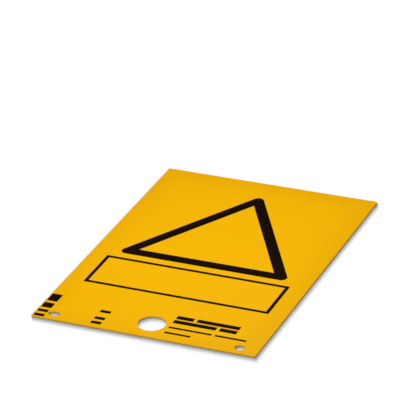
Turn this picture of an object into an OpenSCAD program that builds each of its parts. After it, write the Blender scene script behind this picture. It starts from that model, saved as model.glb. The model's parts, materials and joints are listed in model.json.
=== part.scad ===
// Warning sign card: a flat yellow plastic sheet with three punched holes along its bottom edge,
// printed in black with an empty warning triangle and an empty frame for a line of text.
// A coarse scale of bars and dashes at the left edge helps to line the sheet up, and rows of plain
// blocks beside the large hole make its caption.
// The sheet lies face up. +Z is the printed side, +Y points to the top of the sign, and the
// origin is the middle of the back face.

/* [Sheet] */
// Width of the sheet
sheet_w = 105; // [100:0.5:140]
// Height of the sheet
sheet_h = 150; // [144:0.5:210]
// Thickness of the sheet
sheet_t = 0.5; // [0.2:0.05:1.5]
// Radius of the sheet's corners
corner_r = 0.5; // [0.1:0.1:3]

/* [Holes] */
// Diameter of the large hole, which is centred between the sides
hang_hole_d = 12.6; // [8:0.1:15]
// Height of the large hole's centre above the bottom edge
hang_hole_y = 11.2; // [9:0.1:16]
// Diameter of the round locating hole at the right
locating_hole_d = 4.3; // [3:0.1:6]
// Width of the locating slot at the left
slot_w = 3.5; // [3:0.1:6]
// How far a pin can travel sideways in the slot
slot_travel = 1.8; // [0.5:0.1:3]
// Distance of the locating hole and slot from the side edges, to their centres
locating_inset = 9; // [8.5:0.1:16]
// Height of the locating hole and slot above the bottom edge, to their centres
locating_y = 4.8; // [4:0.1:8]

/* [Text field] */
// Width of sheet left free at each side of the text field
field_margin = 8.4; // [4:0.1:20]
// Height of the text field, outside its line
field_h = 25.6; // [15:0.1:28]
// Distance from the sheet's bottom edge up to the text field
field_y = 35.8; // [26:0.1:40]
// Width of the text field's line
field_line = 1.7; // [0.6:0.1:3]

/* [Warning triangle] */
// Side of the triangle's outer outline, measured between its corners as if they were sharp
triangle_side = 83.8; // [60:0.1:88]
// Width of the triangle's line
triangle_line = 5.3; // [3:0.1:8]
// Clear space between the text field and the triangle
triangle_gap = 4.1; // [2:0.1:8]

/* [Edge bars and dashes] */
// Heights of the bars from the lowest up, in steps of the scale
bar_steps = [1, 1, 2, 3]; // [1:1:4]
// One step of the scale
bar_step = 2.1; // [1.2:0.1:2.2]
// Space between two bars
bar_gap = 1.8; // [1.2:0.1:2.2]
// Width of the bars and of the dashes
bar_w = 4.9; // [2:0.1:5]
// Space between the sheet's left edge and the bars
bars_x = 0.6; // [0.2:0.1:1]
// Space between the sheet's bottom edge and the lowest bar
bars_y = 1; // [0.2:0.1:3]
// Space between the sheet's left edge and the dashes
dashes_x = 26.9; // [16:0.1:34]
// Height of a dash
dash_h = 2.1; // [0.5:0.1:2.3]

/* [Caption lines] */
// Clear space between the large hole and the caption lines
caption_gap = 1.8; // [1:0.1:6]
// Distance from the sheet's bottom edge up to the lowest caption line
caption_y = 5.6; // [4:0.1:8]
// Height of the small words, in the two lower lines
small_h = 1.3; // [0.8:0.1:2]
// Clear height above each line of small words
small_spacing = 3.3; // [2.5:0.1:4]
// Height of the heading's words, in the two upper lines
heading_h = 2.7; // [1:0.1:3.5]
// Clear height between the heading's two lines
heading_spacing = 1; // [0.5:0.1:2]
// Space between two words
word_gap = 1.5; // [0.6:0.1:3]

/* [Ink] */
// Thickness of the ink on the sheet
ink_t = 0.04; // [0.02:0.01:0.2]

/* [Hidden] */
$fn = 96;

sheet_yellow = [0.97, 0.72, 0.02];
ink_black = [0.09, 0.07, 0.05];

// The triangle is one line of ink drawn along a smaller triangle, so its outer corners are round
triangle_path_side = triangle_side - sqrt(3) * triangle_line;
triangle_path_r = triangle_path_side / sqrt(3);
triangle_y = field_y + field_h + triangle_gap + triangle_line / 2 + triangle_path_r / 2;
triangle_path = [for (turn = [0:2]) triangle_path_r * [sin(120 * turn), cos(120 * turn)]];

bar_heights = bar_step * bar_steps;

caption_x = sheet_w / 2 + hang_hole_d / 2 + caption_gap;
// One row for each caption line, from the lowest up: its words' lengths, its height and the gap above it
caption_words = [[12], [20, 14.5], [20, 8], [8, 20]];
caption_heights = [small_h, small_h, heading_h, heading_h];
caption_gaps = [small_spacing, small_spacing, heading_spacing, 0];

// Where item i starts in a row of items, with a gap after each
function start_of(lengths, gaps, i) =
    i == 0 ? 0 : start_of(lengths, gaps, i - 1) + lengths[i - 1] + gaps[i - 1];

// The same gap after every item of a row
function even(gap, row) = [for (item = row) gap];

// Moves a flat shape that is measured from the sheet's bottom left corner to its place
module from_corner() {
    translate([-sheet_w / 2, -sheet_h / 2]) children();
}

// Prints flat shapes, measured from the sheet's bottom left corner, on the sheet's face
module printed() {
    color(ink_black) translate([0, 0, sheet_t]) linear_extrude(ink_t) from_corner() children();
}

module rounded_rectangle(size, r) {
    translate([r, 0]) square([size.x - 2 * r, size.y]);
    translate([0, r]) square([size.x, size.y - 2 * r]);
    for (x = [r, size.x - r], y = [r, size.y - r])
        translate([x, y]) circle(r);
}

// A slot centred on the origin, with round ends
module slot(travel, width) {
    translate([-travel / 2, -width / 2]) square([travel, width]);
    for (side = [-1, 1])
        translate([side * travel / 2, 0]) circle(d = width);
}

// A straight line of ink with a round start
module stroke(start, end, width) {
    run = end - start;
    translate(start) {
        circle(d = width);
        rotate(atan2(run.y, run.x)) translate([0, -width / 2]) square([norm(run), width]);
    }
}

module sheet() {
    color(sheet_yellow) linear_extrude(sheet_t) from_corner() difference() {
        rounded_rectangle([sheet_w, sheet_h], corner_r);
        translate([sheet_w / 2, hang_hole_y]) circle(d = hang_hole_d);
        translate([sheet_w - locating_inset, locating_y]) circle(d = locating_hole_d);
        translate([locating_inset, locating_y]) slot(slot_travel, slot_w);
    }
}

module triangle_print() {
    printed() translate([sheet_w / 2, triangle_y])
        for (i = [0:2])
            stroke(triangle_path[i], triangle_path[(i + 1) % 3], triangle_line);
}

module text_field_print() {
    field_w = sheet_w - 2 * field_margin;
    printed() translate([field_margin, field_y]) difference() {
        square([field_w, field_h]);
        translate([field_line, field_line]) square([field_w - 2 * field_line, field_h - 2 * field_line]);
    }
}

// Height of bar i's lower edge above the sheet's bottom edge
function bar_y(i) = bars_y + start_of(bar_heights, even(bar_gap, bar_heights), i);

module edge_bars_print() {
    printed() for (i = [0:len(bar_heights) - 1])
        translate([bars_x, bar_y(i)]) square([bar_w, bar_heights[i]]);
}

// Each dash stands level with the middle of the space between two bars
module dashes_print() {
    printed() for (i = [1:len(bar_heights) - 1])
        translate([dashes_x, bar_y(i) - bar_gap / 2 - dash_h / 2]) square([bar_w, dash_h]);
}

// Rows of plain blocks, one block for each word of a caption
module caption_lines_print() {
    printed() for (row = [0:len(caption_words) - 1], i = [0:len(caption_words[row]) - 1])
        translate([
            caption_x + start_of(caption_words[row], even(word_gap, caption_words[row]), i),
            caption_y + start_of(caption_heights, caption_gaps, row)
        ])
            square([caption_words[row][i], caption_heights[row]]);
}

sheet();
triangle_print();
text_field_print();
edge_bars_print();
dashes_print();
caption_lines_print();
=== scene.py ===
# A yellow warning sign card, lying face up on a white floor in soft light from the upper left.
# The sheet and its print are the frame's own solids, and this script gives them their finish.
import json
import math

import bpy
from mathutils import Matrix, Vector


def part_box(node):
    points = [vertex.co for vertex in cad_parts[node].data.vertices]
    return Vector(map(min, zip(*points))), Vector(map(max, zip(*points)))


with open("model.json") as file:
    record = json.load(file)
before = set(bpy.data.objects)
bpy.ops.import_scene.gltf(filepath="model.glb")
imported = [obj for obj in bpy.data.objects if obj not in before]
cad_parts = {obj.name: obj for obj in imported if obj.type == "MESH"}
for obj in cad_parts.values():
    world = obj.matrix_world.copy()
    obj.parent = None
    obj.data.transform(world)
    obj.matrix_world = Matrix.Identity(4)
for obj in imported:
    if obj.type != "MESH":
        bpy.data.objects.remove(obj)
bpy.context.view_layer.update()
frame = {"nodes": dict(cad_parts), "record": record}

MM = 0.001

# Camera, as the photograph was taken: angles in degrees, and the distance from its aim in metres
CAMERA_AZIMUTH = 24.066
CAMERA_ELEVATION = 27.382
CAMERA_ROLL = -2.183
CAMERA_DISTANCE = 1.3762
CAMERA_AIM = Vector((-22.57 * MM, 46.57 * MM, 0.5 * MM))
LENS_MM = 262.21
SENSOR_MM = 36.0

# Light, in shares of the level at which white renders as white
SKY_SHARE = 0.02
# The part's own lamps: centre and size of the disk, share
KEY = (Vector((-134 * MM, -577 * MM, 766 * MM)), 350 * MM, 0.587)
FILL = (Vector((4 * MM, 39 * MM, 235 * MM)), 150 * MM, 0.521)
# The floor's own suns: azimuth, elevation and apparent size in degrees, share
GROUND_SUNS = [(-146.0, 7.6, 8.0, 0.444), (-144.0, 20.0, 24.0, 0.34), (36.0, 13.0, 16.0, 0.103)]

# Floor: half its side, how far it lies below the part, its colour and the glow that brings it to white
FLOOR_HALF = 6.0
FLOOR_DROP = 0.01 * MM
FLOOR_WHITE = (0.95, 0.95, 0.95, 1)
FLOOR_LIFT = 0.155

# Colours, as linear light
YELLOW = (0.93, 0.479, 0.001, 1)
# Painted shade: the deeper yellow towards the sheet's edges
YELLOW_EDGE_SHADE = (0.876, 0.438, 0.001, 1)
# The cut edges' colour: a duller yellow, darkened further as painted shade
YELLOW_CUT_SHADE = (0.574, 0.354, 0.029, 1)
INK = (0.007, 0.0025, 0.0008, 1)

# Plastic: how far in from the sheet's edges painted shade makes its colour deeper
EDGE_SHADE_REACH = 12.8 * MM
# Its faint clouds of tone, the lines that drawing leaves along the sheet, and its grain
CLOUD_SIZE = 35 * MM
CLOUD_TONE = 0.975
DRAWN_SIZE = 0.9 * MM
DRAWN_STRETCH = (1, 25, 1)
PLASTIC_GRAIN = 0.25 * MM
PLASTIC_RELIEF = 0.002 * MM
# Its roughness from the grain, and what the drawn lines add to it
PLASTIC_ROUGHNESS = (0.28, 0.35)
DRAWN_ROUGHNESS = (0.0, 0.04)
PLASTIC_SPECULAR = 0.14

# Ink: its mottle and grain
MOTTLE_SIZE = 1.6 * MM
MOTTLE_TONE = 1.5
INK_GRAIN = 0.2 * MM
INK_RELIEF = 0.004 * MM
INK_ROUGHNESS = (0.38, 0.46)
INK_SPECULAR = 0.12


def direction(azimuth, elevation):
    """The unit vector from the part towards a point at that azimuth, which is 0 at -Y, and elevation."""
    a, e = math.radians(azimuth), math.radians(elevation)
    return Vector((math.sin(a) * math.cos(e), -math.cos(a) * math.cos(e), math.sin(e)))


def toned(colour, share):
    """The colour with its light times share."""
    return [channel * share for channel in colour[:3]] + [1]


def add(name, data):
    """A new object in the scene."""
    ob = bpy.data.objects.new(name, data)
    bpy.context.scene.collection.objects.link(ob)
    return ob


class Tree:
    """A material or world under construction: its nodes and links, by short calls."""

    def __init__(self, owner):
        owner.use_nodes = True
        self.tree = owner.node_tree
        self.tree.nodes.clear()

    def feed(self, socket, value):
        """Gives a node's input a value, or a socket to link from."""
        if isinstance(value, bpy.types.NodeSocket):
            self.tree.links.new(value, socket)
        else:
            socket.default_value = value

    def node(self, kind, inputs=None, **settings):
        """A node with its settings and inputs."""
        made = self.tree.nodes.new(kind)
        for key, value in settings.items():
            setattr(made, key, value)
        for key, value in (inputs or {}).items():
            self.feed(made.inputs[key], value)
        return made

    def compute(self, operation, *values):
        """The result of an operation on one or two values."""
        return self.node("ShaderNodeMath", dict(enumerate(values)), operation=operation).outputs[0]

    def place(self):
        """Where a point lies in the part's own frame, in metres."""
        return self.node("ShaderNodeTexCoord").outputs["Object"]

    def noise(self, place, size, detail=2.0, stretch=(1, 1, 1)):
        """Noise from 0 to 1 whose features are about size metres across, times stretch along X, Y and Z."""
        scale = [1 / (size * s) for s in stretch]
        mapped = self.node("ShaderNodeVectorMath", {0: place, 1: scale}, operation="MULTIPLY")
        inputs = {"Vector": mapped.outputs[0], "Scale": 1.0, "Detail": detail}
        return self.node("ShaderNodeTexNoise", inputs).outputs["Fac"]

    def spread(self, value, low, high, start=0.3, end=0.7):
        """value, taken from start to end, spread from low to high. Most noise lies from 0.3 to 0.7."""
        inputs = {"Value": value, "From Min": start, "From Max": end, "To Min": low, "To Max": high}
        return self.node("ShaderNodeMapRange", inputs).outputs["Result"]

    def inset(self, place, half):
        """How far a point lies inside a rectangle of twice the size half, centred on the origin."""
        parts = self.node("ShaderNodeSeparateXYZ", {0: place}).outputs
        off = [self.compute("ABSOLUTE", part) for part in (parts["X"], parts["Y"])]
        gaps = [self.compute("SUBTRACT", reach, distance) for reach, distance in zip(half, off)]
        return self.compute("MINIMUM", *gaps)

    def mix(self, factor, first, second):
        """A colour from first, at factor 0, to second, at factor 1."""
        made = self.node("ShaderNodeMix", data_type="RGBA")
        for name, value in (("Factor", factor), ("A", first), ("B", second)):
            self.feed([s for s in made.inputs if s.name == name and s.enabled][0], value)
        return [s for s in made.outputs if s.enabled][0]

    def bump(self, height, depth, below=None):
        """The normal of a surface with bumps depth metres high, on top of another bump's normal."""
        inputs = {"Height": height, "Distance": depth, "Strength": 1.0}
        if below is not None:
            inputs["Normal"] = below
        return self.node("ShaderNodeBump", inputs).outputs["Normal"]

    def finish(self, shader, kind="ShaderNodeOutputMaterial"):
        """Links the shader to the output, which is a material's unless a world's is asked for."""
        self.tree.links.new(shader, self.node(kind).inputs["Surface"])


def yellow_plastic():
    """Smooth calendered plastic: yellow with painted shade that deepens it a little towards the edges,
    a faint grain along the sheet, and duller cut edges, darkened further by painted shade."""
    mat = bpy.data.materials.new("yellow_plastic")
    t = Tree(mat)
    place = t.place()
    clouds = t.noise(place, CLOUD_SIZE, detail=3.0)
    drawn = t.noise(place, DRAWN_SIZE, stretch=DRAWN_STRETCH)
    grain = t.noise(place, PLASTIC_GRAIN)
    face = t.mix(t.spread(clouds, 0.0, 1.0), YELLOW, toned(YELLOW, CLOUD_TONE))
    # Painted shade, deepening the yellow towards the sheet's edges
    edge_shade = t.spread(t.inset(place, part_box("sheet")[1][:2]), 1.0, 0.0, 0.0, EDGE_SHADE_REACH)
    # The cut edges take a duller, darker yellow, which is partly painted shade
    # A cut edge is where the surface stands upright, so that its normal has no part along Z
    normal = t.node("ShaderNodeNewGeometry").outputs["Normal"]
    up = t.node("ShaderNodeSeparateXYZ", {0: normal}).outputs["Z"]
    cut = t.spread(t.compute("ABSOLUTE", up), 1.0, 0.0, 0.2, 0.8)
    rough = t.compute("ADD", t.spread(drawn, *DRAWN_ROUGHNESS), t.spread(grain, *PLASTIC_ROUGHNESS))
    shader = t.node("ShaderNodeBsdfPrincipled", {
        "Base Color": t.mix(cut, t.mix(edge_shade, face, YELLOW_EDGE_SHADE), YELLOW_CUT_SHADE),
        "Roughness": rough,
        "Specular IOR Level": PLASTIC_SPECULAR,
        "Normal": t.bump(drawn, PLASTIC_RELIEF, t.bump(grain, PLASTIC_RELIEF)),
    })
    t.finish(shader.outputs[0])
    return mat


def black_ink():
    """A thin even coat of warm black with a soft sheen and a slight mottle."""
    mat = bpy.data.materials.new("black_ink")
    t = Tree(mat)
    place = t.place()
    mottle = t.noise(place, MOTTLE_SIZE, detail=3.0)
    shader = t.node("ShaderNodeBsdfPrincipled", {
        "Base Color": t.mix(t.spread(mottle, 0.0, 1.0), INK, toned(INK, MOTTLE_TONE)),
        "Roughness": t.spread(mottle, *INK_ROUGHNESS),
        "Specular IOR Level": INK_SPECULAR,
        "Normal": t.bump(t.noise(place, INK_GRAIN), INK_RELIEF),
    })
    t.finish(shader.outputs[0])
    return mat


def white_floor():
    """White that keeps the part's shadow. The lift brings lit white up to full white, for the camera
    and in what gloss mirrors or clear things let through."""
    mat = bpy.data.materials.new("white_floor")
    t = Tree(mat)
    ray = t.node("ShaderNodeLightPath").outputs
    straight = t.compute("MAXIMUM", ray["Is Camera Ray"], ray["Is Glossy Ray"])
    seen = t.compute("MAXIMUM", straight, ray["Is Transmission Ray"])
    glow = t.node("ShaderNodeEmission", {"Strength": t.spread(seen, 0.0, FLOOR_LIFT, 0.0, 1.0)})
    matte = t.node("ShaderNodeBsdfDiffuse", {"Color": FLOOR_WHITE})
    both = t.node("ShaderNodeAddShader", {0: matte.outputs[0], 1: glow.outputs[0]})
    t.finish(both.outputs[0])
    return mat


def make_floor():
    """A wide white square just under the part."""
    square = ((-1, -1), (1, -1), (1, 1), (-1, 1))
    mesh = bpy.data.meshes.new("floor")
    corners = [(x * FLOOR_HALF, y * FLOOR_HALF, -FLOOR_DROP) for x, y in square]
    mesh.from_pydata(corners, [], [(0, 1, 2, 3)])
    mesh.materials.append(white_floor())
    floor = add("floor", mesh)
    return floor


def place_lamp(name, lamp, towards, lit):
    """Puts a lamp that shines against the vector towards, on the objects of a collection only."""
    ob = add(name, lamp)
    ob.rotation_mode = "QUATERNION"
    ob.rotation_quaternion = towards.to_track_quat("Z", "Y")
    ob.visible_camera = False
    ob.light_linking.receiver_collection = lit
    return ob


def disk(name, centre, size, share, lit):
    """A soft round lamp that faces the origin and gives level ground there its share of light."""
    lamp = bpy.data.lights.new(name, "AREA")
    lamp.shape = "DISK"
    lamp.size = size
    lamp.energy = share * (math.pi * centre.length) ** 2 * centre.length / centre.z
    ob = place_lamp(name, lamp, centre, lit)
    ob.location = centre
    return ob


def sun(name, azimuth, elevation, size, share, lit):
    """A distant soft lamp that gives level ground its share of light."""
    lamp = bpy.data.lights.new(name, "SUN")
    lamp.energy = math.pi * share / math.sin(math.radians(elevation))
    lamp.angle = math.radians(size)
    return place_lamp(name, lamp, direction(azimuth, elevation), lit)


def lit_only(name, objects):
    """A collection of the only objects that a lamp lights."""
    lit = bpy.data.collections.new(name)
    for ob in objects:
        lit.objects.link(ob)
    return lit


def make_sky():
    """A dim white world, which softens the darkest shadows."""
    world = bpy.data.worlds.new("studio")
    bpy.context.scene.world = world
    t = Tree(world)
    sky = t.node("ShaderNodeBackground", {"Color": (1, 1, 1, 1), "Strength": SKY_SHARE})
    t.finish(sky.outputs[0], "ShaderNodeOutputWorld")


def make_light(floor):
    """A soft key and an overhead fill light the part. Lower suns, most of them behind the part at
    the left, light the floor alone, so that the thin sheet has a soft shadow."""
    part = lit_only("part", frame["nodes"].values())
    key = disk("key", *KEY, part)
    key.visible_glossy = False
    disk("fill", *FILL, part)
    ground = lit_only("ground", [floor])
    for place in GROUND_SUNS:
        sun("ground_sun", *place, ground)
    make_sky()


def make_camera():
    """A long lens that looks down on the part from its lower right."""
    data = bpy.data.cameras.new("camera")
    data.sensor_width = SENSOR_MM
    data.lens = LENS_MM
    camera = add("camera", data)
    back = direction(CAMERA_AZIMUTH, CAMERA_ELEVATION)
    level = back.to_track_quat("Z", "Y").to_matrix().to_4x4()
    roll = Matrix.Rotation(math.radians(CAMERA_ROLL), 4, "Z")
    camera.matrix_world = Matrix.Translation(CAMERA_AIM + back * CAMERA_DISTANCE) @ level @ roll
    bpy.context.scene.camera = camera


def dress():
    """Gives every solid of the frame the material of its slot in the record."""
    made = {"yellow_plastic": yellow_plastic(), "black_ink": black_ink()}
    for part in frame["record"]["subparts"]:
        mesh = frame["nodes"][part["node"]].data
        mesh.materials.clear()
        mesh.materials.append(made[part["material_slot"]])


make_camera()
dress()
make_light(make_floor())
bpy.context.scene.view_settings.view_transform = "Standard"
